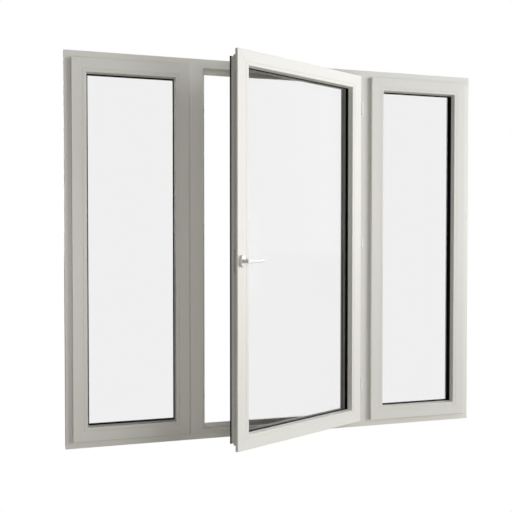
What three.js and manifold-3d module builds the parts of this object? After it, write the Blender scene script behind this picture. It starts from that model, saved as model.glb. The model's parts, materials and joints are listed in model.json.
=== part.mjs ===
// Three-light casement window in welded uPVC profile: two fixed lights and an inward-opening middle light.
// Millimetres, +Z up, +X to the right seen from the room, +Y outdoors.
// The origin is the middle of the sill's underside.

import * as THREE from 'three'
import { mergeVertices } from 'three/addons/utils/BufferGeometryUtils.js'
import Module from 'manifold-3d'

const wasm = await Module()
wasm.setup()

// ---------- driving dimensions ----------
const WIDTH = 2400
const HEIGHT = 2090
const FRAME_DEPTH = 82
const ROOM_Y = -FRAME_DEPTH / 2
const CLEARANCE = 0.3 // between neighbours that touch
const JOINT_GAP = 0.15 // each side of a mitre weld line
const WALL = 3 // of every hollow profile
const CHAMBER_STOP = 1 // the main chamber ends this far in front of the outer stop or leg

// frame section
const FRAME_FACE = 48 // height of the room-side face
const LIP_HEIGHT = 20 // outer stop, past the room-side face
const LIP_FRONT = 62.5 // depth of the stop's room-side face
const LIP_CHAMFER = 1.5
const FRAME_ROUND = 2
const REBATE_GROOVE = { front: 30, rear: 44, depth: 2.5 }
const FRAME_WEB = { front: 22, rear: 25 } // between the front chamber and the main one
const MULLION_X = 506
const MULLION_HALF = 46
const DRAIN = { radius: 2.5, half: 14, outletHeight: 11, inletDepth: 53, spread: 200 } // slots in the sill

// sash section: u runs inward from the sash's outer edge, w runs outdoors from its front face
const OVERLAP = 10.4 // sash edge past the edge of the frame's face
const PROUD = 24 // sash face in front of the frame's face
const FLANGE = 18
const SECOND_STEP = 20
const THIRD_STEP = 26.5
const SECOND_REAR = 57
const SASH_REAR = 80
const SASH_WEB = { front: 15.5, rear: 18.5 }
const LEG_OUTER = 40
const LEG_INNER = 77
const LEG_FRONT = 78
const LEG_REAR = 90
const LEG_ROUND = 2
const EDGE_RADIUS = 3
const HARDWARE_W = 37.5 // middle of the hardware groove
const SEAT = { depth: 22.7, half: 8.3 } // of the groove, for the faceplate
const CHANNEL = { depth: 27, half: 6 } // behind the seat, for the drive rod

// bead section
const BEAD_LINE = 57
const BEAD_NICK = 0.8 // chamfer on each side of the joint line
const BEAD_INNER = 80
const BEAD_DEPTH = 31
const BEAD_ROUND = 2.8
const BEAD_CREST = BEAD_INNER - 7.2
const BEAD_WALL = 2.5

// glazing
const GLASS_EDGE = 62
const GLASS_FRONT = 34.3
const PANE = 4
const UNIT_THICKNESS = 39.7
const SEALANT = 6 // from the glass edge to the spacer
const SPACER_INNER = 79.2
const GASKET = { outer: BEAD_INNER - 9, inner: BEAD_INNER + 2, lip: 1 }

// opening sash
const OPEN_ANGLE = THREE.MathUtils.degToRad(25.2)
const HINGE_OUT = 8.5 // hinge axis past the sash's edge
const HINGE_BACK = 2.6 // hinge axis behind the sash's face
const HINGE_HEIGHTS = { bottom: 257, middle: 1090, top: 1868 }

// lock and handle
const HANDLE_U = 27.5
const HANDLE_Z = 995
const HANDLE_REACH = 106
const CAM_HEIGHTS = { bottom: 260, middle: 1200, top: 1830 }
const ROD_TRAVEL = 18
const CAM_RADIUS = 4
const SPINDLE_HOLE = 5.5

// ---------- materials ----------
const material = (color, roughness, metalness = 0) =>
  new THREE.MeshStandardMaterial({ color, roughness, metalness })
const whitePvc = material(0xe9e8e3, 0.35)
const whitePaint = material(0xefeeea, 0.3)
const blackRubber = material(0x0b0b0b, 0.7)
const blackBar = material(0x101010, 0.6)
const zincSteel = material(0xb4b6b4, 0.35, 1)
const glass = material(0xdfe8e4, 0.03)
glass.transparent = true
glass.opacity = 0.3

// ---------- solids ----------
function solid (geometry) {
  const bare = geometry.clone()
  bare.deleteAttribute('normal')
  bare.deleteAttribute('uv')
  const merged = mergeVertices(bare, 1e-4)
  return new wasm.Manifold(new wasm.Mesh({
    numProp: 3,
    vertProperties: new Float32Array(merged.attributes.position.array),
    triVerts: new Uint32Array(merged.index.array)
  }))
}

function geometryOf (manifold) {
  const mesh = manifold.getMesh()
  const geometry = new THREE.BufferGeometry()
  geometry.setAttribute('position', new THREE.BufferAttribute(mesh.vertProperties, 3))
  geometry.setIndex(new THREE.BufferAttribute(mesh.triVerts, 1))
  geometry.computeVertexNormals()
  return geometry
}

function box (low, high) {
  const size = high.map((value, axis) => value - low[axis])
  const geometry = new THREE.BoxGeometry(...size)
  geometry.translate(...high.map((value, axis) => (value + low[axis]) / 2))
  return geometry
}

// A cylinder along +Z whose base is at the origin.
function rod (radius, length, sides = 32) {
  const geometry = new THREE.CylinderGeometry(radius, radius, length, sides)
  geometry.rotateX(Math.PI / 2)
  geometry.translate(0, 0, length / 2)
  return geometry
}

// A hole is a rectangle [low x, low y, high x, high y].
function shapeOf (points, holes = []) {
  const shape = new THREE.Shape(points.map(([x, y]) => new THREE.Vector2(x, y)))
  shape.holes = holes.map(([x0, y0, x1, y1]) => {
    const corners = [[x0, y0], [x0, y1], [x1, y1], [x1, y0]]
    return new THREE.Path(corners.map(([x, y]) => new THREE.Vector2(x, y)))
  })
  return shape
}

// Points of a rounded corner about the centre (x, y), from angle start to angle end in degrees.
function corner (x, y, radius, start, end, steps = 2) {
  return Array.from({ length: steps + 1 }, (_, i) => {
    const angle = THREE.MathUtils.degToRad(start + (end - start) * i / steps)
    return [x + radius * Math.cos(angle), y + radius * Math.sin(angle)]
  })
}

// An upright slot shape: two half circles joined by straight sides.
function slotShape (radius, halfHeight) {
  const rise = halfHeight - radius
  const shape = new THREE.Shape()
  shape.absarc(0, rise, radius, 0, Math.PI)
  shape.absarc(0, -rise, radius, Math.PI, 2 * Math.PI)
  return shape
}

// A bar with mitred ends: each end recedes with the distance u from the outer edge.
function mitredBar (shape, length) {
  const geometry = new THREE.ExtrudeGeometry(shape, { depth: length, bevelEnabled: false })
  const position = geometry.attributes.position
  for (let i = 0; i < position.count; i++) {
    const setback = position.getX(i) + JOINT_GAP
    position.setZ(i, position.getZ(i) > length / 2 ? length - setback : setback)
  }
  return geometry
}

// A closed ring that follows a rectangle, from a section of (u, w) points given clockwise.
function rectangularRing (section, width, height) {
  const reach = Math.hypot(width, height)
  const points = section.map(([u, w]) => new THREE.Vector2(reach - u, w))
  points.push(points[0].clone())
  const geometry = new THREE.LatheGeometry(points, 4, Math.PI / 4)
  const position = geometry.attributes.position
  for (let i = 0; i < position.count; i++) {
    const u = reach - Math.hypot(position.getX(i), position.getZ(i))
    const x = Math.sign(position.getX(i)) * (width / 2 - u)
    const z = Math.sign(position.getZ(i)) * (height / 2 - u)
    position.setXYZ(i, x, position.getY(i), z)
  }
  return geometry
}

function addMesh (parent, name, geometry, surface) {
  const mesh = new THREE.Mesh(geometry, surface)
  mesh.name = name
  parent.add(mesh)
  return mesh
}

// The four sides of a rectangle: which way u runs, which way a member is extruded, and its first corner.
const SIDES = {
  bottom: { inward: [0, 0, 1], along: [-1, 0, 0], start: [1, -1] },
  top: { inward: [0, 0, -1], along: [1, 0, 0], start: [-1, 1] },
  left: { inward: [1, 0, 0], along: [0, 0, 1], start: [-1, -1] },
  right: { inward: [-1, 0, 0], along: [0, 0, -1], start: [1, 1] }
}

function sideMatrix (side, rectangle, frontY) {
  const { inward, along, start } = SIDES[side]
  const matrix = new THREE.Matrix4().makeBasis(
    new THREE.Vector3(...inward), new THREE.Vector3(0, 1, 0), new THREE.Vector3(...along))
  const x = rectangle.x + start[0] * rectangle.width / 2
  const z = rectangle.z + start[1] * rectangle.height / 2
  return matrix.setPosition(x, frontY, z)
}

function placeOnSide (mesh, side, rectangle, frontY) {
  mesh.applyMatrix4(sideMatrix(side, rectangle, frontY))
}

function sideLength (side, rectangle) {
  return side === 'left' || side === 'right' ? rectangle.height : rectangle.width
}

// ---------- profiles ----------
// The side of a frame or mullion face that a sash closes on, from its front corner to its rear corner.
function rebateSide (face, lip) {
  const groove = face - REBATE_GROOVE.depth
  return [
    ...corner(face - FRAME_ROUND, FRAME_ROUND, FRAME_ROUND, 270, 360),
    [face, REBATE_GROOVE.front], [groove, REBATE_GROOVE.front],
    [groove, REBATE_GROOVE.rear], [face, REBATE_GROOVE.rear],
    [face, LIP_FRONT], [lip - LIP_CHAMFER, LIP_FRONT], [lip, LIP_FRONT + LIP_CHAMFER],
    ...corner(lip - FRAME_ROUND, FRAME_DEPTH - FRAME_ROUND, FRAME_ROUND, 0, 90)
  ]
}

const frameLip = FRAME_FACE + LIP_HEIGHT
const frameShape = shapeOf([
  ...corner(FRAME_ROUND, FRAME_ROUND, FRAME_ROUND, 180, 270),
  ...rebateSide(FRAME_FACE, frameLip),
  ...corner(FRAME_ROUND, FRAME_DEPTH - FRAME_ROUND, FRAME_ROUND, 90, 180)
], [
  [WALL, WALL, FRAME_FACE - WALL, FRAME_WEB.front],
  [WALL, FRAME_WEB.rear, FRAME_FACE - REBATE_GROOVE.depth - WALL, LIP_FRONT - CHAMBER_STOP],
  [WALL, LIP_FRONT + WALL, frameLip - WALL, FRAME_DEPTH - WALL]
])

const mullionLip = MULLION_HALF + LIP_HEIGHT
const mullionSide = rebateSide(MULLION_HALF, mullionLip)
const mullionChambers = [
  [MULLION_HALF - WALL, WALL, FRAME_WEB.front],
  [MULLION_HALF - REBATE_GROOVE.depth - WALL, FRAME_WEB.rear, LIP_FRONT - CHAMBER_STOP],
  [mullionLip - WALL, LIP_FRONT + WALL, FRAME_DEPTH - WALL]
]
const mullionShape = shapeOf(
  [...mullionSide, ...mullionSide.map(([x, y]) => [-x, y]).reverse()],
  mullionChambers.map(([reach, front, rear]) => [-reach, front, reach, rear]))

const sashShape = shapeOf([
  ...corner(EDGE_RADIUS, EDGE_RADIUS, EDGE_RADIUS, 180, 270, 4),
  [BEAD_LINE - BEAD_NICK, 0], [BEAD_LINE, BEAD_NICK],
  [BEAD_LINE, LEG_FRONT], [LEG_INNER, LEG_FRONT],
  ...corner(LEG_INNER - LEG_ROUND, LEG_REAR - LEG_ROUND, LEG_ROUND, 0, 90),
  ...corner(LEG_OUTER + LEG_ROUND, LEG_REAR - LEG_ROUND, LEG_ROUND, 90, 180),
  [LEG_OUTER, SASH_REAR], [THIRD_STEP, SASH_REAR],
  [THIRD_STEP, SECOND_REAR], [SECOND_STEP, SECOND_REAR],
  [SECOND_STEP, HARDWARE_W + SEAT.half], [SEAT.depth, HARDWARE_W + SEAT.half],
  [SEAT.depth, HARDWARE_W + CHANNEL.half], [CHANNEL.depth, HARDWARE_W + CHANNEL.half],
  [CHANNEL.depth, HARDWARE_W - CHANNEL.half], [SEAT.depth, HARDWARE_W - CHANNEL.half],
  [SEAT.depth, HARDWARE_W - SEAT.half], [SECOND_STEP, HARDWARE_W - SEAT.half],
  [SECOND_STEP, FLANGE], [1, FLANGE], [0, FLANGE - 1]
], [
  [WALL, WALL, BEAD_LINE - WALL, SASH_WEB.front],
  [CHANNEL.depth + WALL, SASH_WEB.rear, BEAD_LINE - WALL, LEG_FRONT - CHAMBER_STOP],
  [LEG_OUTER + WALL, LEG_FRONT + WALL, LEG_INNER - WALL, LEG_REAR - WALL]
])

const beadOuter = BEAD_LINE + CLEARANCE
const beadShape = shapeOf([
  [beadOuter, BEAD_NICK], [beadOuter + BEAD_NICK, 0],
  ...corner(BEAD_CREST, BEAD_ROUND, BEAD_ROUND, 270, 350, 4),
  [BEAD_INNER - 0.2, BEAD_DEPTH - 1.5], [BEAD_INNER - 1.5, BEAD_DEPTH], [beadOuter, BEAD_DEPTH]
], [
  [BEAD_LINE + BEAD_WALL, BEAD_WALL, BEAD_CREST, BEAD_DEPTH - BEAD_WALL]
])

// ---------- the three lights ----------
// A light is the rectangle of its sash's outer edge, centred at (x, z).
const SASH_Y = ROOM_Y - PROUD
const MEMBER_NAMES = { top: 'top_rail', bottom: 'bottom_rail', left: 'left_stile', right: 'right_stile' }
const sashHeight = HEIGHT - 2 * (FRAME_FACE - OVERLAP)
const sideInner = MULLION_X + MULLION_HALF - OVERLAP
const sideOuter = WIDTH / 2 - FRAME_FACE + OVERLAP
const middleWidth = 2 * (MULLION_X - MULLION_HALF + OVERLAP)
const sideX = (sideInner + sideOuter) / 2
const sideWidth = sideOuter - sideInner
const LIGHTS = {
  left: { x: -sideX, z: HEIGHT / 2, width: sideWidth, height: sashHeight },
  middle: { x: 0, z: HEIGHT / 2, width: middleWidth, height: sashHeight },
  right: { x: sideX, z: HEIGHT / 2, width: sideWidth, height: sashHeight }
}

// The gear case fills a pocket in the lock stile. Its depths are w and its reach is u.
const CASE = { front: 20, rear: 52, reach: 37, half: 58 }

function lockStile (rectangle) {
  const handle = HANDLE_Z - (rectangle.z - rectangle.height / 2)
  const pocket = box(
    [SECOND_STEP - 1, CASE.front - CLEARANCE, handle - CASE.half - CLEARANCE],
    [CASE.reach + CLEARANCE, CASE.rear + CLEARANCE, handle + CASE.half + CLEARANCE])
  const hole = rod(SPINDLE_HOLE + 0.5, CASE.front + 2)
  hole.rotateX(-Math.PI / 2)
  hole.translate(HANDLE_U, -1, handle)
  const bar = solid(mitredBar(sashShape, rectangle.height))
  return geometryOf(bar.subtract(solid(pocket)).subtract(solid(hole)))
}

function addSash (parent, light, rectangle) {
  for (const side of Object.keys(SIDES)) {
    const holdsLock = light === 'middle' && side === 'left'
    const length = sideLength(side, rectangle)
    const geometry = holdsLock ? lockStile(rectangle) : mitredBar(sashShape, length)
    const member = addMesh(parent, `${light}_sash_${MEMBER_NAMES[side]}`, geometry, whitePvc)
    placeOnSide(member, side, rectangle, SASH_Y)
    const bead = addMesh(parent, `${light}_bead_${side}`, mitredBar(beadShape, length), whitePvc)
    placeOnSide(bead, side, rectangle, SASH_Y)
  }
}

const spacerFront = GLASS_FRONT + PANE + CLEARANCE
const spacerRear = GLASS_FRONT + UNIT_THICKNESS - PANE - CLEARANCE
const spacerSection = [
  [GLASS_EDGE + SEALANT, spacerFront], [GLASS_EDGE + SEALANT, spacerRear],
  [SPACER_INNER, spacerRear], [SPACER_INNER, spacerFront]
]
const gasketFront = BEAD_DEPTH + CLEARANCE
const gasketRear = GLASS_FRONT - CLEARANCE
const gasketSection = [
  [GASKET.outer, gasketFront], [GASKET.outer, gasketRear], [GASKET.inner, gasketRear],
  [GASKET.inner, gasketRear - GASKET.lip], [GASKET.inner - GASKET.lip, gasketFront]
]

function addGlazing (parent, light, rectangle) {
  const { x, z, width, height } = rectangle
  const panes = { inner_pane: GLASS_FRONT, outer_pane: GLASS_FRONT + UNIT_THICKNESS - PANE }
  for (const [name, front] of Object.entries(panes)) {
    const sheet = new THREE.BoxGeometry(width - 2 * GLASS_EDGE, PANE, height - 2 * GLASS_EDGE)
    const pane = addMesh(parent, `${light}_${name}`, sheet, glass)
    pane.position.set(x, SASH_Y + front + PANE / 2, z)
  }
  const spacer = addMesh(parent, `${light}_spacer`, rectangularRing(spacerSection, width, height), blackBar)
  spacer.position.set(x, SASH_Y, z)
  const ring = rectangularRing(gasketSection, width, height)
  const gasket = addMesh(parent, `${light}_glazing_gasket`, ring, blackRubber)
  gasket.position.set(x, SASH_Y, z)
}

// ---------- outer frame ----------
const casement = new THREE.Group()
const frame = new THREE.Group()
casement.add(frame)
const outline = { x: 0, z: HEIGHT / 2, width: WIDTH, height: HEIGHT }

// A mullion ends in a V that is welded into a notch in the head or the sill.
const apexFromEdge = FRAME_FACE - MULLION_HALF
const notchSpread = frameLip + 10 // deeper than the rail
const postSpread = 1.1 * HEIGHT // taller than the post

// A right-angled wedge whose apex points up (direction 1) or down (direction -1).
function vWedge (x, apex, spread, direction) {
  const base = apex - direction * spread
  const triangle = shapeOf([[-spread, base], [spread, base], [0, apex]])
  const geometry = new THREE.ExtrudeGeometry(triangle, { depth: FRAME_DEPTH + 2, bevelEnabled: false })
  geometry.rotateX(Math.PI / 2)
  geometry.translate(x, ROOM_Y + FRAME_DEPTH + 1, 0)
  return geometry
}

// Water enters the sill by slots in the open rebate's floor, and leaves by slots through its outer wall.
function drainSlot (length) {
  const shape = slotShape(DRAIN.radius, DRAIN.half)
  const slot = new THREE.ExtrudeGeometry(shape, { depth: length, bevelEnabled: false, curveSegments: 5 })
  return slot.rotateZ(Math.PI / 2)
}

function drainSlots () {
  const outletFront = LIP_FRONT - 2 // in the main chamber
  const inletFoot = FRAME_FACE - 10 // also in the main chamber
  const outlets = Object.values(LIGHTS).flatMap(({ x }) => [-DRAIN.spread, DRAIN.spread].map(offset =>
    drainSlot(FRAME_DEPTH + 2 - outletFront)
      .rotateX(-Math.PI / 2)
      .translate(x + offset, ROOM_Y + outletFront, DRAIN.outletHeight)))
  const inlets = [-DRAIN.spread, DRAIN.spread].map(x =>
    drainSlot(FRAME_FACE + 2 - inletFoot).translate(x, ROOM_Y + DRAIN.inletDepth, inletFoot))
  return [...outlets, ...inlets]
}

function notchedRail (side) {
  const direction = side === 'top' ? 1 : -1
  const apex = (side === 'top' ? HEIGHT - apexFromEdge : apexFromEdge) + direction * JOINT_GAP
  const bar = mitredBar(frameShape, WIDTH).applyMatrix4(sideMatrix(side, outline, ROOM_Y))
  let rail = solid(bar)
  for (const x of [-MULLION_X, MULLION_X]) {
    rail = rail.subtract(solid(vWedge(x, apex, notchSpread, direction)))
  }
  for (const slot of side === 'bottom' ? drainSlots() : []) {
    rail = rail.subtract(solid(slot))
  }
  return geometryOf(rail)
}

function mullion (x) {
  const post = new THREE.ExtrudeGeometry(mullionShape, { depth: HEIGHT, bevelEnabled: false })
  post.translate(x, ROOM_Y, 0)
  const upper = vWedge(x, HEIGHT - apexFromEdge - JOINT_GAP, postSpread, 1)
  const lower = vWedge(x, apexFromEdge + JOINT_GAP, postSpread, -1)
  return geometryOf(solid(post).intersect(solid(upper)).intersect(solid(lower)))
}

addMesh(frame, 'frame_head', notchedRail('top'), whitePvc)
addMesh(frame, 'frame_sill', notchedRail('bottom'), whitePvc)
for (const side of ['left', 'right']) {
  const jamb = addMesh(frame, `frame_jamb_${side}`, mitredBar(frameShape, HEIGHT), whitePvc)
  placeOnSide(jamb, side, outline, ROOM_Y)
}
addMesh(frame, 'mullion_left', mullion(-MULLION_X), whitePvc)
addMesh(frame, 'mullion_right', mullion(MULLION_X), whitePvc)

// ---------- fixed lights ----------
for (const light of ['left', 'right']) {
  addSash(frame, light, LIGHTS[light])
  addGlazing(frame, light, LIGHTS[light])
}

// ---------- opening light ----------
// The turned group stands on the hinge axis. What hangs on the sash group is placed as if it were closed.
const hingeX = LIGHTS.middle.width / 2 + HINGE_OUT
const hingeY = SASH_Y + HINGE_BACK
const turned = new THREE.Group()
turned.position.set(hingeX, hingeY, 0)
turned.rotation.z = OPEN_ANGLE
casement.add(turned)
const sash = new THREE.Group()
sash.position.set(-hingeX, -hingeY, 0)
turned.add(sash)

addSash(sash, 'middle', LIGHTS.middle)
addGlazing(sash, 'middle', LIGHTS.middle)

// The weather seal at the rear edge, and the one behind the front flange.
const REAR_LIP = 9.5 // how far the rear seal's lip splays out past the sash's third step
const rearFoot = SASH_REAR + CLEARANCE
const rearSealSection = [
  [THIRD_STEP + 0.3, rearFoot], [THIRD_STEP - REAR_LIP, SASH_REAR + 4.2],
  [THIRD_STEP - REAR_LIP, SASH_REAR + 5.8], [THIRD_STEP + 5, SASH_REAR + 6], [THIRD_STEP + 7.5, rearFoot]
]
const flangeFoot = FLANGE + CLEARANCE
const overlapSealSection = [
  [4.5, flangeFoot], [4.8, FLANGE + 4.6], [6, FLANGE + 5.7],
  [8, FLANGE + 5.7], [9.8, FLANGE + 4.2], [9.8, flangeFoot]
]
const seals = { rear_seal: rearSealSection, overlap_seal: overlapSealSection }
for (const [name, section] of Object.entries(seals)) {
  const ring = rectangularRing(section, LIGHTS.middle.width, LIGHTS.middle.height)
  addMesh(sash, name, ring, blackRubber).position.set(0, SASH_Y, HEIGHT / 2)
}

// ---------- lock gear ----------
// Drawn in the sash's (u, w, z), with u from the left edge of the middle sash.
const lock = new THREE.Group()
lock.position.set(-LIGHTS.middle.width / 2, SASH_Y, 0)
sash.add(lock)

const ROD = { low: 180, high: 1910, front: 22.9, back: 25.4, half: 4 }
const FACEPLATE = { low: 150, high: 1940, front: SECOND_STEP, back: 22.3, half: 8 }
const CAM_PROUD = 6.2 // cam past the faceplate
const WELD = 0.5 // how far joined pieces run into each other

// A cam is a cylinder along +X.
function cam (z) {
  const from = SECOND_STEP - CAM_PROUD
  const geometry = rod(CAM_RADIUS, ROD.front + WELD - from, 24)
  geometry.rotateY(Math.PI / 2)
  geometry.translate(from, HARDWARE_W, z)
  return geometry
}

function driveRod () {
  const strip = box(
    [ROD.front, HARDWARE_W - ROD.half, ROD.low],
    [ROD.back, HARDWARE_W + ROD.half, ROD.high])
  let body = solid(strip)
  for (const z of Object.values(CAM_HEIGHTS)) {
    body = body.add(solid(cam(z)))
  }
  return geometryOf(body)
}

// The faceplate with its gear case, the rod's channel, the spindle's hub and the cams' slots.
function faceplate () {
  const plate = box(
    [FACEPLATE.front, HARDWARE_W - FACEPLATE.half, FACEPLATE.low],
    [FACEPLATE.back, HARDWARE_W + FACEPLATE.half, FACEPLATE.high])
  const gearCase = box(
    [FACEPLATE.back - WELD - CLEARANCE, CASE.front, HANDLE_Z - CASE.half],
    [CASE.reach, CASE.rear, HANDLE_Z + CASE.half])
  const channel = box(
    [ROD.front - CLEARANCE, HARDWARE_W - ROD.half - CLEARANCE, ROD.low],
    [ROD.back + CLEARANCE, HARDWARE_W + ROD.half + CLEARANCE, ROD.high])
  const hub = rod(SPINDLE_HOLE, 13)
  hub.rotateX(-Math.PI / 2)
  hub.translate(HANDLE_U, CASE.front - 1, HANDLE_Z)
  let body = solid(plate).add(solid(gearCase)).subtract(solid(channel)).subtract(solid(hub))
  const slotHalf = CAM_RADIUS + 0.5
  for (const z of Object.values(CAM_HEIGHTS)) {
    const slot = box(
      [FACEPLATE.front - 1, HARDWARE_W - slotHalf, z - ROD_TRAVEL - slotHalf - CLEARANCE],
      [FACEPLATE.back + CLEARANCE, HARDWARE_W + slotHalf, z + slotHalf + CLEARANCE])
    body = body.subtract(solid(slot))
  }
  return geometryOf(body)
}

addMesh(lock, 'lock_faceplate', faceplate(), zincSteel)
addMesh(lock, 'drive_rod', driveRod(), zincSteel)

// Keeps on the left mullion: a base plate, and the wall that a lowered cam stands behind.
const KEEP = { half: 10.5, below: 45, above: 16, thick: 2.1, height: 6.8, wall: 4, screwRadius: 2.2 }
const KEEP_GAP = 0.5 // from the wall to a cam
const keepFace = -MULLION_X + MULLION_HALF
const camY = SASH_Y + HARDWARE_W

function keep (z) {
  const base = box(
    [keepFace + CLEARANCE, camY - KEEP.half, z - KEEP.below],
    [keepFace + KEEP.thick, camY + KEEP.half, z + KEEP.above])
  const lowered = z - ROD_TRAVEL
  const wallRear = camY - CAM_RADIUS - KEEP_GAP
  const wall = box(
    [keepFace + 1, wallRear - KEEP.wall, lowered - 16],
    [keepFace + KEEP.height, wallRear, lowered + 6])
  let body = solid(base).add(solid(wall))
  for (const screwZ of [z - KEEP.below + 5, z + KEEP.above - 5]) {
    const hole = rod(KEEP.screwRadius, 6, 20)
    hole.rotateY(Math.PI / 2)
    hole.translate(keepFace - 1, camY + 2, screwZ)
    body = body.subtract(solid(hole))
  }
  return geometryOf(body)
}

for (const [place, z] of Object.entries(CAM_HEIGHTS)) {
  addMesh(frame, `keep_${place}`, keep(z), zincSteel)
}

// ---------- handle ----------
// Drawn about the spindle: +X along the lever, +Y into the sash, +Z up.
const handle = new THREE.Group()
handle.position.set(HANDLE_U, 0, HANDLE_Z)
lock.add(handle)

const ROSETTE = { halfWidth: 15, halfHeight: 32, thickness: 11, bevel: 3 }
const NECK_RADIUS = 9
const GRIP = { front: 60, thickness: 13, halfHeight: 10.5, endRound: 5, edgeRound: 4 }
const GRIP_TAPER = { height: 0.2, thickness: 0.25, rise: 3.5, bow: 5, lead: 2 }
const SPINDLE = { half: 3.5, front: 20, rear: 31.5 }

function rosette () {
  const shape = slotShape(ROSETTE.halfWidth - ROSETTE.bevel, ROSETTE.halfHeight - ROSETTE.bevel)
  const plate = new THREE.ExtrudeGeometry(shape, {
    depth: ROSETTE.thickness,
    bevelSize: ROSETTE.bevel,
    bevelThickness: ROSETTE.bevel,
    bevelSegments: 4,
    curveSegments: 14
  })
  plate.rotateX(Math.PI / 2)
  plate.translate(0, ROSETTE.bevel, 0)
  const kept = box([-40, -ROSETTE.thickness, -60], [40, -CLEARANCE, 60])
  const hole = rod(SPINDLE_HOLE + 0.4, 40)
  hole.rotateX(Math.PI / 2)
  hole.translate(0, 10, 0)
  return geometryOf(solid(plate).intersect(solid(kept)).subtract(solid(hole)))
}

// The grip: a rounded bar that bows towards the sash, thins, and rises towards its tip.
function grip () {
  const start = -NECK_RADIUS
  const length = HANDLE_REACH - start
  const bar = new THREE.ExtrudeGeometry(slotShape(GRIP.thickness / 2, GRIP.halfHeight), {
    depth: length - 2 * GRIP.endRound,
    steps: 14,
    bevelSize: GRIP.edgeRound,
    bevelOffset: -GRIP.edgeRound,
    bevelThickness: GRIP.endRound,
    bevelSegments: 4,
    curveSegments: 9
  })
  bar.rotateY(Math.PI / 2)
  bar.rotateX(Math.PI / 2)
  bar.translate(start + GRIP.endRound, 0, 0)
  const middle = -GRIP.front + GRIP.thickness / 2 - GRIP_TAPER.lead
  const position = bar.attributes.position
  for (let i = 0; i < position.count; i++) {
    const x = position.getX(i)
    const along = THREE.MathUtils.clamp((x - start) / length, 0, 1)
    const bow = GRIP_TAPER.bow * Math.sin(0.9 * Math.PI * along)
    const y = middle + bow + position.getY(i) * (1 - GRIP_TAPER.thickness * along)
    const z = GRIP_TAPER.rise * along * along + position.getZ(i) * (1 - GRIP_TAPER.height * along)
    position.setXYZ(i, x, y, z)
  }
  return bar
}

function lever () {
  const neckFoot = ROSETTE.thickness + CLEARANCE
  const neck = rod(NECK_RADIUS, GRIP.front - GRIP.thickness / 2 - neckFoot, 36)
  neck.rotateX(Math.PI / 2)
  neck.translate(0, -neckFoot, 0)
  const spindle = box(
    [-SPINDLE.half, -SPINDLE.front, -SPINDLE.half], [SPINDLE.half, SPINDLE.rear, SPINDLE.half])
  return geometryOf(solid(neck).add(solid(grip())).add(solid(spindle)))
}

addMesh(handle, 'handle_rosette', rosette(), whitePaint)
addMesh(handle, 'handle_lever', lever(), whitePaint)

// ---------- hinges ----------
// Drawn about the hinge axis, with z from the barrel's middle. The frame leaf has the barrel's lower half.
const BARREL = { radius: 7.5, half: 39, edge: 3 }
const PIN = { radius: 3, half: 34.5 }
const SPLIT = 0.3 // from the middle to each half of the barrel
const LEAF_THICKNESS = 3

function barrel (direction) {
  const profile = [
    [0, SPLIT], [BARREL.radius, SPLIT], [BARREL.radius, BARREL.half - BARREL.edge],
    [BARREL.radius - 1, BARREL.half - 1], [BARREL.radius - BARREL.edge, BARREL.half], [0, BARREL.half]
  ]
  const geometry = new THREE.LatheGeometry(profile.map(([r, z]) => new THREE.Vector2(r, z)), 32)
  geometry.rotateX(direction * Math.PI / 2)
  return geometry
}

function leaf (direction, plates) {
  const boreHalf = PIN.half + WELD
  const bore = rod(PIN.radius + CLEARANCE, 2 * boreHalf)
  bore.translate(0, 0, -boreHalf)
  let body = solid(barrel(direction))
  for (const plate of plates) {
    body = body.add(solid(plate))
  }
  return geometryOf(body.subtract(solid(bore)))
}

// The frame leaf stands on the mullion's face, and the sash leaf lies in the sash's edge.
const mullionFace = ROOM_Y - CLEARANCE - hingeY
const frameLeaf = leaf(-1, [
  box([-2.5, 4.5, 3 - BARREL.half], [3.5, mullionFace - 1, -SPLIT]),
  box([-7, mullionFace - LEAF_THICKNESS, 1 - BARREL.half], [13, mullionFace, BARREL.half - 1])
])
const sashLeaf = leaf(1, [
  box([CLEARANCE - HINGE_OUT, 1 - HINGE_BACK, SPLIT], [-5.2, FLANGE - 1 - HINGE_BACK, BARREL.half - 2])
])
const pin = rod(PIN.radius, 2 * PIN.half)
pin.translate(0, 0, -PIN.half)
for (const [place, z] of Object.entries(HINGE_HEIGHTS)) {
  addMesh(casement, `hinge_${place}_frame_leaf`, frameLeaf, whitePaint).position.set(hingeX, hingeY, z)
  addMesh(turned, `hinge_${place}_sash_leaf`, sashLeaf, whitePaint).position.set(0, 0, z)
  addMesh(casement, `hinge_${place}_pin`, pin, zincSteel).position.set(hingeX, hingeY, z)
}

export default casement
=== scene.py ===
import json
import math

import bmesh
import bpy
from mathutils import Matrix, Vector


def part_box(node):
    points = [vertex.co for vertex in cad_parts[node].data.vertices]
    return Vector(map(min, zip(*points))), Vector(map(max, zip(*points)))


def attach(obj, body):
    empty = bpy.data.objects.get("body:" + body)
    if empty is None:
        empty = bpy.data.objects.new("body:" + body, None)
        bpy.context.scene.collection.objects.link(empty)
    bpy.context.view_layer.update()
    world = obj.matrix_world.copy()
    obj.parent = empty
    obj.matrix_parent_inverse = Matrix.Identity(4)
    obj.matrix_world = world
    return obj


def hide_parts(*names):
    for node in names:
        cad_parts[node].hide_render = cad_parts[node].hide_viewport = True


bpy.ops.wm.read_factory_settings(use_empty=True)
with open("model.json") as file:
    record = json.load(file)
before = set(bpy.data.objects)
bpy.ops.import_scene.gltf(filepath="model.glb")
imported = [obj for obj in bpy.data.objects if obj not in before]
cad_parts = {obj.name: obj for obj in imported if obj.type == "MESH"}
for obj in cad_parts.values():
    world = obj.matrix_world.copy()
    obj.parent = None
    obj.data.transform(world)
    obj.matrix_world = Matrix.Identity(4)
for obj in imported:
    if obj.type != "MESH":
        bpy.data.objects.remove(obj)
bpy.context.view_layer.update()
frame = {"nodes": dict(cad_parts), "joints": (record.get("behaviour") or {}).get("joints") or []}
NODES = frame["nodes"]
scene = bpy.context.scene
MM = 0.001

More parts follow.
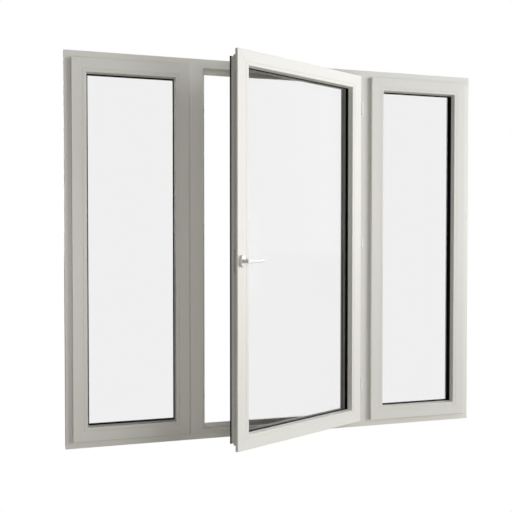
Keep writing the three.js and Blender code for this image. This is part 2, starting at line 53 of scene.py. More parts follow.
# ---------- places worked out from the frame ----------
LIGHTS = ("left", "middle", "right")
FIXED = ("left", "right")
PLACES = ("bottom", "middle", "top")
JOINTS = {joint["name"]: joint for joint in frame["joints"]}
HINGE = Vector(JOINTS["sash_turn"]["pos_m"])
CLOSED_ANGLE = math.radians(JOINTS["sash_turn"]["range_deg"][0])
SPINDLE = Vector(JOINTS["handle_turn"]["pos_m"])

# From the closed sash's axes to where the sash stands at rest.
TO_REST = (
    Matrix.Translation(HINGE)
    @ Matrix.Rotation(-CLOSED_ANGLE, 4, "Z")
    @ Matrix.Translation(-HINGE)
)

# The CAD model's sash section, from its outer edge inward (u) and from its front face outdoors (w).
CLEARANCE = 0.3 * MM  # between neighbours that touch
OVERLAP = 10.4 * MM  # sash edge past the edge of the frame's face
PROUD = 24 * MM  # sash face in front of the frame's face
FLANGE = 18 * MM
LEG_INNER = 77 * MM
LEG_FRONT = 78 * MM
BEAD_INNER = 80 * MM
BEAD_DEPTH = 31 * MM
GLASS_EDGE = 62 * MM
GLASS_FRONT = 34.3 * MM
UNIT_THICKNESS = 39.7 * MM
PANE = 4 * MM
SEALANT = 6 * MM  # from the glass edge to the spacer
SPACER_INNER = 79.2 * MM
LIP_HEIGHT = 20 * MM  # a mullion's outer stop, past its room-side face


def light_box(light):
    """A light's centre x and z, half width and half height, and the y of its sash's face when closed."""
    glass_low, glass_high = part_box("left_inner_pane" if light == "left" else "right_inner_pane")
    half_height = (glass_high.z - glass_low.z) / 2 + GLASS_EDGE
    centre_z = (glass_high.z + glass_low.z) / 2
    face = glass_low.y - GLASS_FRONT
    if light == "middle":
        left_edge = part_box("mullion_left")[1].x - LIP_HEIGHT - OVERLAP
        return 0.0, centre_z, -left_edge, half_height, face
    half_width = (glass_high.x - glass_low.x) / 2 + GLASS_EDGE
    return (glass_high.x + glass_low.x) / 2, centre_z, half_width, half_height, face


# ---------- node helpers ----------
def new_material(name):
    material = bpy.data.materials.new(name)
    material.use_nodes = True
    tree = material.node_tree
    tree.nodes.clear()
    output = tree.nodes.new("ShaderNodeOutputMaterial")
    return material, tree, output


def add(tree, kind, inputs=None, **settings):
    """A node with its settings, whose inputs are values or other nodes' outputs."""
    node = tree.nodes.new(kind)
    for key, value in settings.items():
        setattr(node, key, value)
    for key, value in (inputs or {}).items():
        if isinstance(value, bpy.types.NodeSocket):
            tree.links.new(value, node.inputs[key])
        else:
            node.inputs[key].default_value = value
    return node


def noise(tree, vector, scale, detail=3.0, roughness=0.5, stretch=(1, 1, 1), turn=0.0):
    mapping = add(tree, "ShaderNodeMapping", {"Vector": vector, "Scale": stretch, "Rotation": (0, 0, turn)})
    node = add(tree, "ShaderNodeTexNoise", {
        "Vector": mapping.outputs["Vector"], "Scale": scale, "Detail": detail, "Roughness": roughness})
    return node.outputs["Fac"]


def ramp(tree, factor, low, high, start, end):
    """factor from low to high, mapped smoothly to start to end."""
    node = add(tree, "ShaderNodeMapRange", {
        "Value": factor, "From Min": low, "From Max": high, "To Min": start, "To Max": end},
        interpolation_type="SMOOTHSTEP")
    return node.outputs["Result"]


def mix_colour(tree, factor, first, second):
    node = add(tree, "ShaderNodeMix", data_type="RGBA")
    for index, value in ((0, factor), (6, first), (7, second)):
        if isinstance(value, bpy.types.NodeSocket):
            tree.links.new(value, node.inputs[index])
        else:
            node.inputs[index].default_value = value
    return node.outputs[2]


def maths(tree, operation, first, second=0.0):
    node = add(tree, "ShaderNodeMath", operation=operation)
    for index, value in ((0, first), (1, second)):
        if isinstance(value, bpy.types.NodeSocket):
            tree.links.new(value, node.inputs[index])
        else:
            node.inputs[index].default_value = value
    return node.outputs[0]


def bump(tree, height, strength, distance, normal=None):
    inputs = {"Height": height, "Strength": strength, "Distance": distance}
    if normal is not None:
        inputs["Normal"] = normal
    return add(tree, "ShaderNodeBump", inputs).outputs["Normal"]


def finish_material(tree, output, inputs):
    surface = add(tree, "ShaderNodeBsdfPrincipled", inputs)
    tree.links.new(surface.outputs["BSDF"], output.inputs["Surface"])


# ---------- materials ----------
def pvc(name, stretch, turn=0.0):
    """Extruded white uPVC. stretch is small along the bar, so that the die lines run with it."""
    material, tree, output = new_material(name)
    place = add(tree, "ShaderNodeTexCoord").outputs["Object"]
    cloud = noise(tree, place, 3.0, 4.0, 0.55)
    dust = noise(tree, place, 150.0, 4.0, 0.6)
    die_lines = noise(tree, place, 420.0, 2.0, 0.5, stretch, turn)
    grain = noise(tree, place, 1600.0, 2.0, 0.6)
    wear = ramp(tree, add(tree, "ShaderNodeNewGeometry").outputs["Pointiness"], 0.50, 0.56, 0.0, 1.0)
    tone = mix_colour(tree, cloud, (0.817, 0.805, 0.744, 1), (0.829, 0.817, 0.758, 1))
    specks = ramp(tree, dust, 0.60, 0.80, 0.0, 0.03)
    tone = mix_colour(tree, specks, tone, (0.62, 0.60, 0.55, 1))
    tone = mix_colour(tree, maths(tree, "MULTIPLY", wear, 0.35), tone, (0.88, 0.88, 0.86, 1))
    cloudy = ramp(tree, cloud, 0.3, 0.7, 0.38, 0.44)
    rough = maths(tree, "ADD", cloudy, ramp(tree, dust, 0.3, 0.75, 0.0, 0.03))
    rough = maths(tree, "SUBTRACT", rough, maths(tree, "MULTIPLY", wear, 0.05))
    normal = bump(tree, die_lines, 0.10, 0.00006)
    normal = bump(tree, grain, 0.12, 0.00003, normal)
    finish_material(tree, output, {
        "Base Color": tone, "Roughness": rough, "Normal": normal, "IOR": 1.5, "Specular IOR Level": 0.35,
        "Coat Weight": 0.03, "Coat Roughness": 0.2})
    return material


def paint():
    """Powder coat, with a fine orange peel."""
    material, tree, output = new_material("powder_coat")
    place = add(tree, "ShaderNodeTexCoord").outputs["Object"]
    peel = noise(tree, place, 900.0, 2.0, 0.45)
    cloud = noise(tree, place, 26.0, 3.0, 0.5)
    wear = ramp(tree, add(tree, "ShaderNodeNewGeometry").outputs["Pointiness"], 0.52, 0.60, 0.0, 1.0)
    tone = mix_colour(tree, cloud, (0.885, 0.880, 0.860, 1), (0.915, 0.910, 0.895, 1))
    tone = mix_colour(tree, maths(tree, "MULTIPLY", wear, 0.25), tone, (0.76, 0.76, 0.74, 1))
    rough = maths(tree, "ADD", ramp(tree, cloud, 0.3, 0.7, 0.20, 0.30), maths(tree, "MULTIPLY", wear, 0.08))
    normal = bump(tree, peel, 0.18, 0.00006)
    finish_material(tree, output, {
        "Base Color": tone, "Roughness": rough, "Normal": normal, "IOR": 1.5, "Coat Weight": 0.15,
        "Coat Roughness": 0.1})
    return material


def rubber(name, base, light, roughness, specular):
    """Matt extruded rubber with fine pores and patches of pale dust."""
    material, tree, output = new_material(name)
    place = add(tree, "ShaderNodeTexCoord").outputs["Object"]
    pores = noise(tree, place, 1400.0, 3.0, 0.6)
    dust = noise(tree, place, 70.0, 5.0, 0.65)
    tone = mix_colour(tree, ramp(tree, dust, 0.58, 0.8, 0.0, 0.35), base, light)
    rough = ramp(tree, dust, 0.3, 0.7, roughness - 0.08, roughness + 0.1)
    finish_material(tree, output, {
        "Base Color": tone, "Roughness": rough, "Normal": bump(tree, pores, 0.3, 0.00008),
        "Specular IOR Level": specular})
    return material


def steel():
    """Zinc-plated steel strip: soft blotches, and drawn lines along Z."""
    material, tree, output = new_material("zinc_plated_steel")
    place = add(tree, "ShaderNodeTexCoord").outputs["Object"]
    blotch = noise(tree, place, 60.0, 4.0, 0.6)
    drawn = noise(tree, place, 900.0, 2.0, 0.5, (1, 1, 0.02))
    tone = mix_colour(tree, blotch, (0.50, 0.51, 0.53, 1), (0.70, 0.70, 0.68, 1))
    blotchy = ramp(tree, blotch, 0.3, 0.7, 0.24, 0.40)
    rough = maths(tree, "ADD", blotchy, ramp(tree, drawn, 0.4, 0.6, 0.0, 0.06))
    finish_material(tree, output, {
        "Base Color": tone, "Metallic": 1.0, "Roughness": rough, "Normal": bump(tree, drawn, 0.2, 0.00005)})
    return material


EDGE_MIRROR = 0.8  # share of the light that glass mirrors when it is seen edge-on
MIRROR_POWER = 5.0  # how fast that falls away towards a square view


def clear_glass(name, tint, shade):
    """Float glass with an anti-reflective coating: it shows what is behind it with a faint tint, and
    mirrors only at low angles. Light that crosses it is held back more, by shade."""
    material, tree, output = new_material(name)
    place = add(tree, "ShaderNodeTexCoord").outputs["Object"]
    smear = noise(tree, place, 5.0, 4.0, 0.6)
    ray = add(tree, "ShaderNodeLightPath")
    lighting = maths(tree, "MAXIMUM", ray.outputs["Is Shadow Ray"], ray.outputs["Is Diffuse Ray"])
    through = add(tree, "ShaderNodeBsdfTransparent", {"Color": mix_colour(tree, lighting, tint, shade)})
    mirror = add(tree, "ShaderNodeBsdfGlossy", {
        "Color": (0.9, 0.95, 0.92, 1), "Roughness": ramp(tree, smear, 0.35, 0.75, 0.01, 0.05)})
    edge_on = add(tree, "ShaderNodeLayerWeight", {"Blend": 0.5}).outputs["Facing"]
    share = maths(tree, "MULTIPLY", maths(tree, "POWER", edge_on, MIRROR_POWER), EDGE_MIRROR)
    mixed = add(tree, "ShaderNodeMixShader", {
        "Fac": share, 1: through.outputs["BSDF"], 2: mirror.outputs["BSDF"]})
    tree.links.new(mixed.outputs["Shader"], output.inputs["Surface"])
    return material


ALONG_X = (0.01, 1, 1)
ALONG_Z = (1, 1, 0.01)
PVC_STILE = pvc("upvc_upright", ALONG_Z)
PVC_RAIL = pvc("upvc_level", ALONG_X)
PVC_OPEN_RAIL = pvc("upvc_level_opened", ALONG_X, CLOSED_ANGLE)
PAINT = paint()
RUBBER = rubber("gasket_rubber", (0.006, 0.006, 0.006, 1), (0.05, 0.048, 0.045, 1), 0.62, 0.2)
SEAL_RUBBER = rubber("weather_seal", (0.035, 0.035, 0.034, 1), (0.08, 0.078, 0.074, 1), 0.6, 0.3)
GREY_GASKET = rubber("grey_gasket", (0.30, 0.30, 0.29, 1), (0.38, 0.375, 0.36, 1), 0.55, 0.3)
PALE_SPACER = rubber("pale_spacer", (0.84, 0.84, 0.82, 1), (0.88, 0.875, 0.86, 1), 0.5, 0.2)
SPACER = rubber("warm_edge_spacer", (0.001, 0.001, 0.001, 1), (0.006, 0.006, 0.006, 1), 0.7, 0.04)
STEEL = steel()
GLASS = clear_glass("float_glass", (0.9650, 0.9652, 0.9650, 1), (0.5, 0.5, 0.5, 1))


def node_material(name):
    if name.endswith("pane"):
        return GLASS
    if name.endswith("spacer"):
        return SPACER
    if name.endswith("seal"):
        return SEAL_RUBBER
    if name.endswith("gasket"):
        return RUBBER
    if name.startswith("keep") or name.endswith("pin") or name in ("drive_rod", "lock_faceplate"):
        return STEEL
    if name.startswith(("hinge", "handle")):
        return PAINT
    level = name in ("frame_head", "frame_sill") or name.endswith(("rail", "bead_top", "bead_bottom"))
    if not level:
        return PVC_STILE
    return PVC_OPEN_RAIL if name.startswith("middle") else PVC_RAIL


WELD_DISTANCE = 2e-6
ROUNDED_ANGLE = 38  # degrees: edges sharper than this are rounded


def soften(piece, width, segments=2):
    """Welds a faceted mesh's points, then rounds its sharp edges."""
    weld = piece.modifiers.new("weld", "WELD")
    weld.merge_threshold = WELD_DISTANCE
    edge = piece.modifiers.new("edge", "BEVEL")
    edge.width = width
    edge.segments = segments
    edge.limit_method = "ANGLE"
    edge.angle_limit = math.radians(ROUNDED_ANGLE)
    edge.harden_normals = True


# Widths of the CAD nodes' rounded edges, by the first word of the material's name, and of all the others.
EDGE_WIDTHS = {"upvc": 0.45 * MM, "float": 0.4 * MM, "gasket": 0.25 * MM, "weather": 0.25 * MM}
OTHER_EDGE = 0.3 * MM

for name, node in NODES.items():
    material = node_material(name)
    node.data.materials.clear()
    node.data.materials.append(material)
    soften(node, EDGE_WIDTHS.get(material.name.split("_")[0], OTHER_EDGE))


# ---------- mesh helpers ----------
def object_from(name, shape, material):
    mesh = bpy.data.meshes.new(name)
    bmesh.ops.recalc_face_normals(shape, faces=shape.faces)
    shape.to_mesh(mesh)
    shape.free()
    mesh.materials.append(material)
    piece = bpy.data.objects.new(name, mesh)
    scene.collection.objects.link(piece)
    return piece


def points_object(name, loops, material, closed=False):
    """Joins loops of points, in millimetres, which all have the same count. A solid with a hole is closed:
    its last loop joins its first. Otherwise the first and last loops are filled."""
    shape = bmesh.new()
    rows = [[shape.verts.new(Vector(point) * MM) for point in loop] for loop in loops]
    following = rows[1:] + rows[:1] if closed else rows[1:]
    for row, after in zip(rows, following):
        for j in range(len(row)):
            k = (j + 1) % len(row)
            shape.faces.new((row[j], row[k], after[k], after[j]))
    if not closed:
        shape.faces.new(rows[0])
        shape.faces.new(rows[-1])
    return object_from(name, shape, material)


def circle(radius, z, sides=40):
    angles = [2 * math.pi * (i + 0.5) / sides for i in range(sides)]
    return [(radius * math.cos(angle), radius * math.sin(angle), z) for angle in angles]


def arc(x, y, radius, start, end, steps):
    """Points on an arc about (x, y), from angle start to angle end in degrees."""
    angles = [math.radians(start + (end - start) * i / steps) for i in range(steps + 1)]
    return [(x + radius * math.cos(angle), y + radius * math.sin(angle)) for angle in angles]


def block(name, low, high, material, round_edges=0.0):
    """A box between two corners in millimetres, with its edges rounded."""
    shape = bmesh.new()
    bmesh.ops.create_cube(shape, size=1.0)
    middle = (Vector(low) + Vector(high)) / 2
    size = Vector(high) - Vector(low)
    for vertex in shape.verts:
        vertex.co = Vector(vertex.co[i] * size[i] + middle[i] for i in range(3)) * MM
    if round_edges:
        bmesh.ops.bevel(
            shape, geom=shape.edges[:], offset=round_edges * MM, segments=3, affect="EDGES", profile=0.5)
    return object_from(name, shape, material)


def apply_modifiers(piece):
    bpy.context.view_layer.update()
    graph = bpy.context.evaluated_depsgraph_get()
    mesh = bpy.data.meshes.new_from_object(piece.evaluated_get(graph))
    piece.modifiers.clear()
    piece.data = mesh


def combine(piece, operation, tools):
    """Joins tools to a piece (UNION) or cuts it with them (DIFFERENCE). The tools are used up."""
    for tool in tools:
        change = piece.modifiers.new("combine", "BOOLEAN")
        change.operation = operation
        change.solver = "EXACT"
        change.object = tool
    apply_modifiers(piece)
    for tool in tools:
        bpy.data.objects.remove(tool, do_unlink=True)


def smooth(piece, degrees=30):
    """Smooth shading, with creases at edges sharper than degrees."""
    piece.data.shade_smooth()
    piece.data.set_sharp_from_angle(angle=math.radians(degrees))


def place_piece(piece, body, matrix=Matrix.Identity(4)):
    piece.data.transform(matrix)
    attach(piece, body)
    return piece


def ring(name, section, light, material):
    """A mitred ring round a light, from a closed section of (u, w) points."""
    x, z, half_width, half_height, face = light_box(light)
    shape = bmesh.new()
    loops = []
    for sign_x, sign_z in ((-1, -1), (1, -1), (1, 1), (-1, 1)):
        loops.append([
            shape.verts.new((x + sign_x * (half_width - u), face + w, z + sign_z * (half_height - u)))
            for u, w in section])
    for i, loop in enumerate(loops):
        following = loops[(i + 1) % 4]
        for j in range(len(section)):
            k = (j + 1) % len(section)
            shape.faces.new((loop[j], loop[k], following[k], following[j]))
    return object_from(name, shape, material)


# ---------- gaskets ----------
GASKET_LIP = 4.6 * MM  # how far a glazing gasket shows past its bead
GASKET_FOOT = 9 * MM  # how far a gasket reaches under its bead or leg
BAR_SPLIT = 52 * MM  # depth at which the opening sash's black bar ends
BAR_GAP = 0.1 * MM  # between the black bar and the pale one


def light_ring(name, section, light, material, edge):
    """A ring round a light, which rides with the light's sash."""
    piece = ring(name, section, light, material)
    soften(piece, edge)
    if light == "middle":
        return place_piece(piece, "sash", TO_REST)
    return place_piece(piece, "frame")


def outer_gasket(light):
    rear = GLASS_FRONT + UNIT_THICKNESS
    section = [
        (LEG_INNER - GASKET_FOOT, rear + CLEARANCE), (LEG_INNER - GASKET_FOOT, LEG_FRONT - CLEARANCE),
        (LEG_INNER - 0.6 * MM, LEG_FRONT - CLEARANCE), (LEG_INNER + 0.2 * MM, LEG_FRONT - 1.6 * MM),
        (LEG_INNER + 0.6 * MM, rear + CLEARANCE)]
    light_ring(f"{light}_outer_gasket", section, light, GREY_GASKET, 0.25 * MM)


def lip_gasket(light):
    """The glazing gasket between the beads and the glass."""
    foot = BEAD_DEPTH + CLEARANCE
    face = GLASS_FRONT - CLEARANCE
    section = [
        (BEAD_INNER - GASKET_FOOT, foot), (BEAD_INNER - GASKET_FOOT, face),
        (BEAD_INNER + GASKET_LIP, face), (BEAD_INNER + GASKET_LIP, face - 0.7 * MM),
        (BEAD_INNER + 1.2 * MM, foot + 0.4 * MM), (BEAD_INNER - 0.6 * MM, foot)]
    piece = light_ring(f"{light}_lip_gasket", section, light, RUBBER, 0.2 * MM)
    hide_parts(f"{light}_glazing_gasket")


def spacer_bar(name, front, rear, material):
    """A part of the opening sash's spacer, between two depths behind the sash's face."""
    outer = GLASS_EDGE + SEALANT
    section = [(outer, front), (outer, rear), (SPACER_INNER, rear), (SPACER_INNER, front)]
    piece = light_ring(name, section, "middle", material, 0.3 * MM)
    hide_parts("middle_spacer")


def flange_seal(light):
    """The seal behind a fixed sash's front flange."""
    foot = FLANGE + CLEARANCE
    tip = PROUD - 0.4 * MM
    section = [
        (4.5 * MM, foot), (4.8 * MM, tip - 1.1 * MM), (6.0 * MM, tip), (8.0 * MM, tip),
        (9.8 * MM, tip - 1.4 * MM), (9.8 * MM, foot)]
    light_ring(f"{light}_flange_seal", section, light, RUBBER, 0.25 * MM)


def rear_lip_seal():
    """The weather seal at the opening sash's rear edge: a foot, a bulb and a lip that splays outward."""
    outline = [
        (26.8, 80.3), (25.0, 81.3), (20.6, 84.4), (20.4, 85.3), (21.2, 85.9), (28, 85.4), (30.2, 86),
        (32, 86), (33.2, 84.6), (34, 80.3)]
    section = [(u * MM, w * MM) for u, w in outline]
    piece = light_ring("rear_lip_seal", section, "middle", SEAL_RUBBER, 0.25 * MM)
    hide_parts("rear_seal")


for light in LIGHTS:
    outer_gasket(light)
    lip_gasket(light)
bar_front = GLASS_FRONT + PANE + CLEARANCE
bar_rear = GLASS_FRONT + UNIT_THICKNESS - PANE - CLEARANCE
spacer_bar("middle_black_bar", bar_front, BAR_SPLIT, SPACER)
spacer_bar("middle_pale_bar", BAR_SPLIT + BAR_GAP, bar_rear, PALE_SPACER)
for light in FIXED:
    flange_seal(light)
rear_lip_seal()

# ---------- handle ----------
# In millimetres about the spindle: +X along the lever, +Y into the sash, +Z up.
HANDLE_PLACE = Matrix.Translation(SPINDLE) @ Matrix.Rotation(-CLOSED_ANGLE, 4, "Z")
ROSETTE_RADIUS = 14
ROSETTE_RISE = 17  # from the rosette's middle to the centre of each round end
ROSETTE_FRONT = 15
ROSETTE_EDGE = 2.4  # radius of the cover's front edge
SPINDLE_HOLE = 6.4  # radii of the holes in the rosette
NECK_HOLE = 9.5
NECK = [(9.6, 8.6), (10, 9), (18, 9), (36, 9.8), (52, 10)]  # distance in front of the sash, radius
# The grip's two ends, the distance of its middle in front of the sash, half of its thickness and height at
# the butt, the length of each round end, and how far it bows towards the sash and rises at its tip.
GRIP = {
    "butt": -9, "tip": 106, "front": 54.8, "thick": 6.5, "high": 10.7, "end": 3.6, "bow": 5, "rise": 3.5}
GRIP_TAPER = {"thick": 0.25, "high": 0.2}  # shares lost from butt to tip
BOW_SPAN = 0.9 * math.pi  # part of a sine wave that the bow follows
CORNER_POWER = 0.62  # of a grip section's corners: 1 makes an ellipse, 0 a rectangle
SPINDLE_BAR = {"half": 3.5, "front": -9, "rear": 31.5, "edge": 0.4}


def slot_loop(radius, y, rise=ROSETTE_RISE, sides=56):
    """An upright slot shape in the plane of the sash's face, at the distance y in front of it."""
    return [(x, -y, z + math.copysign(rise, z)) for x, z, _ in circle(radius, 0, sides)]


def rosette_base():
    outer = [slot_loop(r, y) for r, y in ((13.3, 0.4), (13.7, 0.8), (13.7, 1.8), (13.3, 2.2))]
    inner = [slot_loop(SPINDLE_HOLE, 2.2, 0), slot_loop(SPINDLE_HOLE, 0.4, 0)]
    piece = points_object("rosette_base", outer + inner, PAINT, closed=True)
    smooth(piece)
    place_piece(piece, "sash", HANDLE_PLACE)


def rosette_cover():
    """A rounded oval cap with a raised collar round the neck."""
    front, edge = ROSETTE_FRONT, ROSETTE_EDGE
    rim = [(ROSETTE_RADIUS - 0.3, 2.6), (ROSETTE_RADIUS, 2.9)]
    rim += arc(ROSETTE_RADIUS - edge, front - edge, edge, 0, 90, 6)
    outer = [slot_loop(r, y) for r, y in rim]
    collar = [
        (11.4, front + 0.1), (11.0, front + 0.7), (10.7, front + 0.8), (9.8, front + 0.8),
        (NECK_HOLE, front + 0.5), (NECK_HOLE, 8.9), (SPINDLE_HOLE, 8.9), (SPINDLE_HOLE, 2.6)]
    inner = [slot_loop(r, y, 0) for r, y in collar]
    piece = points_object("rosette_cover", outer + inner, PAINT, closed=True)
    smooth(piece)
    place_piece(piece, "sash", HANDLE_PLACE)
    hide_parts("handle_rosette")


def grip_section(x, sides=44):
    """A rounded rectangle across the grip, at x. The grip bows towards the sash, thins, and rises."""
    along = (x - GRIP["butt"]) / (GRIP["tip"] - GRIP["butt"])
    into_end = max(0, GRIP["end"] - min(x - GRIP["butt"], GRIP["tip"] - x))
    inset = GRIP["end"] - math.sqrt(GRIP["end"] ** 2 - into_end ** 2)
    thick = GRIP["thick"] * (1 - GRIP_TAPER["thick"] * along) - inset
    high = GRIP["high"] * (1 - GRIP_TAPER["high"] * along) - inset
    y = GRIP["bow"] * math.sin(BOW_SPAN * along) - GRIP["front"]
    z = GRIP["rise"] * along * along
    loop = []
    for i in range(sides):
        angle = 2 * math.pi * (i + 0.5) / sides
        forward = math.copysign(abs(math.cos(angle)) ** CORNER_POWER, math.cos(angle))
        up = math.copysign(abs(math.sin(angle)) ** CORNER_POWER, math.sin(angle))
        loop.append((x, y - forward * thick, z + up * high))
    return loop


def lever():
    """A round neck that widens a little, in one piece with a flat grip."""
    neck = points_object("neck", [[(x, -y, z) for x, z, _ in circle(r, 0, 56)] for y, r in NECK], PAINT)
    butt, tip, end = GRIP["butt"], GRIP["tip"], GRIP["end"]
    rounding = [end * share for share in (0.003, 0.05, 0.17, 0.36, 0.62)]
    spans = 18
    places = [butt + depth for depth in rounding]
    places += [butt + end + (tip - butt - 2 * end) * i / spans for i in range(spans + 1)]
    places += [tip - depth for depth in reversed(rounding)]
    piece = points_object("lever", [grip_section(x) for x in places], PAINT)
    combine(piece, "UNION", [neck])
    smooth(piece, 40)
    place_piece(piece, "handle", HANDLE_PLACE)
    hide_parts("handle_lever")


def spindle():
    """The square bar that the lever turns in the lock's gear."""
    half, front, rear = SPINDLE_BAR["half"], SPINDLE_BAR["front"], SPINDLE_BAR["rear"]
    piece = block("spindle", (-half, front, -half), (half, rear, half), STEEL, SPINDLE_BAR["edge"])
    place_piece(piece, "handle", HANDLE_PLACE)


rosette_base()
rosette_cover()
lever()
spindle()

# ---------- hinges ----------
# In millimetres about the hinge axis, with z from the barrel's middle, as if the sash were closed.
BARREL = {"radius": 7.5, "half": 39, "dome": 6.5, "bore": 3.3, "bore_end": 35}
PLATE_GAP = 0.3  # between a hinge's plate and the mullion
MULLION_FACE = (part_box("mullion_right")[0].y - HINGE.y) / MM - PLATE_GAP
HINGE_PLATE = {"left": -7, "right": 13, "half": 38, "thick": 3}
LEAF_EDGE = 0.35 * MM


def barrel_half(name, direction):
    radius, half, dome = BARREL["radius"], BARREL["half"], BARREL["dome"]
    groove = half - dome - 3
    profile = [
        (BARREL["bore"], BARREL["bore_end"]), (BARREL["bore"], 0.3), (radius - 0.5, 0.3), (radius, 0.8),
        (radius, groove - 0.4), (radius - 0.4, groove), (radius, groove + 0.4)]
    profile += [(radius - 4.5 + x, half - dome + y) for x, y in arc(0, 0, 4.5, 0, 45, 4)]
    profile += [(radius - 3.6, half - 1.4), (radius - 5.2, half - 0.4), (0.6, half)]
    return points_object(name, [circle(r, z * direction) for r, z in profile], PAINT)


def rounded_plate(name, low, high, front, rear, radius=3):
    """An upright plate with round corners, from (x, z) low to high, between two values of y."""
    middle = [(a + b) / 2 for a, b in zip(low, high)]
    spread = [(b - a) / 2 - radius for a, b in zip(low, high)]
    corners = circle(radius, 0, 32)
    outline = [(middle[0] + x + math.copysign(spread[0], x), middle[1] + z + math.copysign(spread[1], z))
               for x, z, _ in corners]
    return points_object(name, [[(x, y, z) for x, z in outline] for y in (front, rear)], PAINT)


def hinge(place):
    low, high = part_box(f"hinge_{place}_pin")
    axis = Matrix.Translation((HINGE.x, HINGE.y, (low.z + high.z) / 2))
    plate = HINGE_PLATE
    foot = MULLION_FACE - plate["thick"]

    frame_leaf = barrel_half(f"hinge_{place}_lower_leaf", -1)
    web = block("web", (-2.5, 4.5, -36), (3.5, foot + 1, -0.4), PAINT, 0.5)
    base = rounded_plate(
        "base", (plate["left"], -plate["half"]), (plate["right"], plate["half"]), foot, MULLION_FACE)
    combine(frame_leaf, "UNION", [web, base])
    soften(frame_leaf, LEAF_EDGE)
    place_piece(frame_leaf, "frame", axis)
    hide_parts(f"hinge_{place}_frame_leaf")

    sash_leaf = barrel_half(f"hinge_{place}_upper_leaf", 1)
    arm = block("arm", (-8.1, -3.6, 0.4), (-5.2, 14.3, 36.8), PAINT, 0.6)
    combine(sash_leaf, "UNION", [arm])
    soften(sash_leaf, LEAF_EDGE)
    place_piece(sash_leaf, "sash", axis @ Matrix.Rotation(-CLOSED_ANGLE, 4, "Z"))
    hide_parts(f"hinge_{place}_sash_leaf")


for place in PLACES:
    hinge(place)

# ---------- screws ----------
SPIN = 50  # degrees from one screw's recess to the next one's
SCREW_GAP = 0.05 * MM  # between a screw's head and its surface
# Keep screws: from the mullion's side, from the keep's middle depth and from its ends.
KEEP_SCREWS = {"x": 2.15 * MM, "y": 2 * MM, "z": 5 * MM}
FACEPLATE_U = 20 * MM
HARDWARE_W = 37.5 * MM
FACEPLATE_SCREWS = (0.17, 0.43, 0.70, 0.915, 1.075, 1.33, 1.58, 1.92)  # heights
HINGE_SCREWS = {"x": 9.6 * MM, "z": 29 * MM}  # from the hinge axis, and from the barrel's middle


def screw_head(radius, height):
    """A low domed head with a cross recess, standing on the plane z = 0."""
    profile = [
        (radius - 0.2, 0), (radius, 0.25), (radius - 0.3, 0.5 * height), (0.7 * radius, 0.85 * height),
        (0.3 * radius, height), (0.1, height)]
    head = points_object("screw_head", [circle(r, z, 28) for r, z in profile], STEEL)
    reach, slot = 0.55 * radius, 0.14 * radius
    first = block("slot", (-reach, -slot, 0.35 * height), (reach, slot, height + 1), STEEL)
    second = block("slot", (-slot, -reach, 0.35 * height), (slot, reach, height + 1), STEEL)
    combine(head, "DIFFERENCE", [first, second])
    return head


def screws(name, head, places, facing, body, matrix=Matrix.Identity(4)):
    """Copies of a screw head, one at each place, in one piece. facing is the way that the heads face."""
    shape = bmesh.new()
    turn = Vector((0, 0, 1)).rotation_difference(Vector(facing)).to_matrix().to_4x4()
    for i, place in enumerate(places):
        spin = Matrix.Rotation(math.radians(SPIN * i), 4, "Z")
        copy = head.data.copy()
        copy.transform(Matrix.Translation(place) @ turn @ spin)
        shape.from_mesh(copy)
        bpy.data.meshes.remove(copy)
    piece = object_from(name, shape, STEEL)
    smooth(piece)
    place_piece(piece, body, matrix)


small_head = screw_head(3.3, 1.4)
flat_head = screw_head(3.4, 0.7)

keep_places = []
for place in PLACES:
    low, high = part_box(f"keep_{place}")
    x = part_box("mullion_left")[1].x - LIP_HEIGHT + KEEP_SCREWS["x"]
    y = (low.y + high.y) / 2 + KEEP_SCREWS["y"]
    keep_places += [(x, y, low.z + KEEP_SCREWS["z"]), (x, y, high.z - KEEP_SCREWS["z"])]
screws("keep_screws", small_head, keep_places, (1, 0, 0), "frame")

_, _, middle_half, _, middle_face = light_box("middle")
plate_x = FACEPLATE_U - middle_half - SCREW_GAP
plate_places = [(plate_x, middle_face + HARDWARE_W, z) for z in FACEPLATE_SCREWS]
screws("faceplate_screws", flat_head, plate_places, (-1, 0, 0), "sash", TO_REST)

hinge_places = []
for place in PLACES:
    low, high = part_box(f"hinge_{place}_pin")
    x = HINGE.x + HINGE_SCREWS["x"]
    y = HINGE.y + (MULLION_FACE - HINGE_PLATE["thick"]) * MM - SCREW_GAP
    middle_z = (low.z + high.z) / 2
    hinge_places += [(x, y, middle_z - HINGE_SCREWS["z"]), (x, y, middle_z + HINGE_SCREWS["z"])]
screws("hinge_screws", small_head, hinge_places, (0, -1, 0), "frame")
for head in (small_head, flat_head):
    bpy.data.objects.remove(head, do_unlink=True)

# ---------- floor, world, lights and camera ----------
FLOOR_RADIUS = 14
AMBIENCE = 0.03  # strength of the light from all round
COOL = (0.97, 0.975, 1.0)  # the key boxes on the right
WARM = (1.0, 0.985, 0.955)  # every other box
# Each softbox stands upright round the window and faces its middle: degrees to the right of straight in
# front, height of its middle, distance, width, height, watts and colour.
SOFTBOXES = {
    "right": (80, 3.8, 8.0, 6.4, 5.9, 385, COOL),
    "front_right": (45, 3.2, 9.0, 5.0, 5.0, 250, COOL),
    "front_right_low": (50, 0.9, 9.5, 5.0, 1.6, 150, COOL),
    "front_left": (-21, 0.9, 4.5, 2.6, 1.6, 45, WARM),
    "rear_left": (-150, 2.2, 5.0, 2.8, 2.6, 80, WARM),
    "rear_right": (150, 2.2, 5.0, 2.8, 2.6, 95, WARM),
}
TOP_BOX = {"y": -1.2, "height": 5.2, "side": 3.4, "watts": 20}
CAMERA_PLACE = (-1.3129, -3.9670, 1.1039)
CAMERA_YAW = 16.397  # degrees to the right of straight ahead
CAMERA_PITCH = 1.306  # degrees down
SENSOR = 36  # width, in millimetres, as the lens is
LENS = 51.16


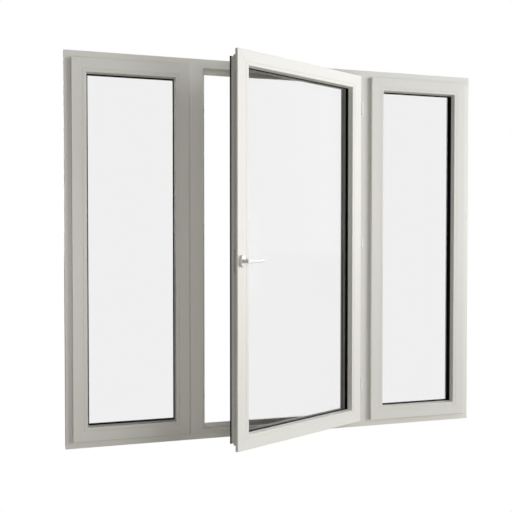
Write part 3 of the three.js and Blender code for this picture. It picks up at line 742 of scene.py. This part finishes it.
def stage_floor():
    shape = bmesh.new()
    bmesh.ops.create_circle(shape, cap_ends=True, segments=96, radius=FLOOR_RADIUS)
    material, tree, output = new_material("pale_floor")
    place = add(tree, "ShaderNodeTexCoord").outputs["Object"]
    cloud = noise(tree, place, 1.5, 3.0, 0.5)
    tone = mix_colour(tree, cloud, (0.54, 0.52, 0.47, 1), (0.58, 0.56, 0.51, 1))
    pale = add(tree, "ShaderNodeBsdfDiffuse", {"Color": tone})
    glow = add(tree, "ShaderNodeEmission", {"Color": (1, 1, 1, 1), "Strength": 1.0})
    seen = add(tree, "ShaderNodeLightPath").outputs["Is Camera Ray"]
    both = add(tree, "ShaderNodeMixShader", {
        "Fac": seen, 1: pale.outputs["BSDF"], 2: glow.outputs["Emission"]})
    tree.links.new(both.outputs["Shader"], output.inputs["Surface"])
    floor = object_from("floor", shape, material)


def white_world(strength):
    world = bpy.data.worlds.new("studio")
    scene.world = world
    world.use_nodes = True
    tree = world.node_tree
    tree.nodes.clear()
    seen = add(tree, "ShaderNodeLightPath").outputs["Is Camera Ray"]
    backdrop = add(tree, "ShaderNodeBackground", {"Color": (1, 1, 1, 1), "Strength": 1.0})
    ambience = add(tree, "ShaderNodeBackground", {"Color": (1, 0.995, 0.97, 1), "Strength": strength})
    both = add(tree, "ShaderNodeMixShader", {
        "Fac": seen, 1: ambience.outputs["Background"], 2: backdrop.outputs["Background"]})
    output = add(tree, "ShaderNodeOutputWorld")
    tree.links.new(both.outputs["Shader"], output.inputs["Surface"])


def softbox(name, place, width, tall, watts, colour):
    data = bpy.data.lights.new(name, "AREA")
    data.shape = "RECTANGLE"
    data.size, data.size_y = width, tall
    data.energy = watts
    data.color = colour
    box = bpy.data.objects.new(name, data)
    scene.collection.objects.link(box)
    box.location = place
    box.visible_camera = False
    return box


def studio_lights():
    for name, (degrees, height, distance, width, tall, watts, colour) in SOFTBOXES.items():
        turn = math.radians(degrees)
        place = (distance * math.sin(turn), -distance * math.cos(turn), height)
        box = softbox(name, place, width, tall, watts, colour)
        box.rotation_euler = (math.pi / 2, 0, turn)
    place = (0, TOP_BOX["y"], TOP_BOX["height"])
    softbox("top", place, TOP_BOX["side"], TOP_BOX["side"], TOP_BOX["watts"], WARM)


def photo_camera():
    data = bpy.data.cameras.new("camera")
    data.sensor_width = SENSOR
    data.lens = LENS
    camera = bpy.data.objects.new("camera", data)
    scene.collection.objects.link(camera)
    camera.location = CAMERA_PLACE
    pitch = math.radians(CAMERA_PITCH)
    camera.rotation_euler = (math.pi / 2 - pitch, 0, -math.radians(CAMERA_YAW))
    scene.camera = camera


stage_floor()
white_world(AMBIENCE)
studio_lights()
photo_camera()
scene.view_settings.view_transform = "Standard"
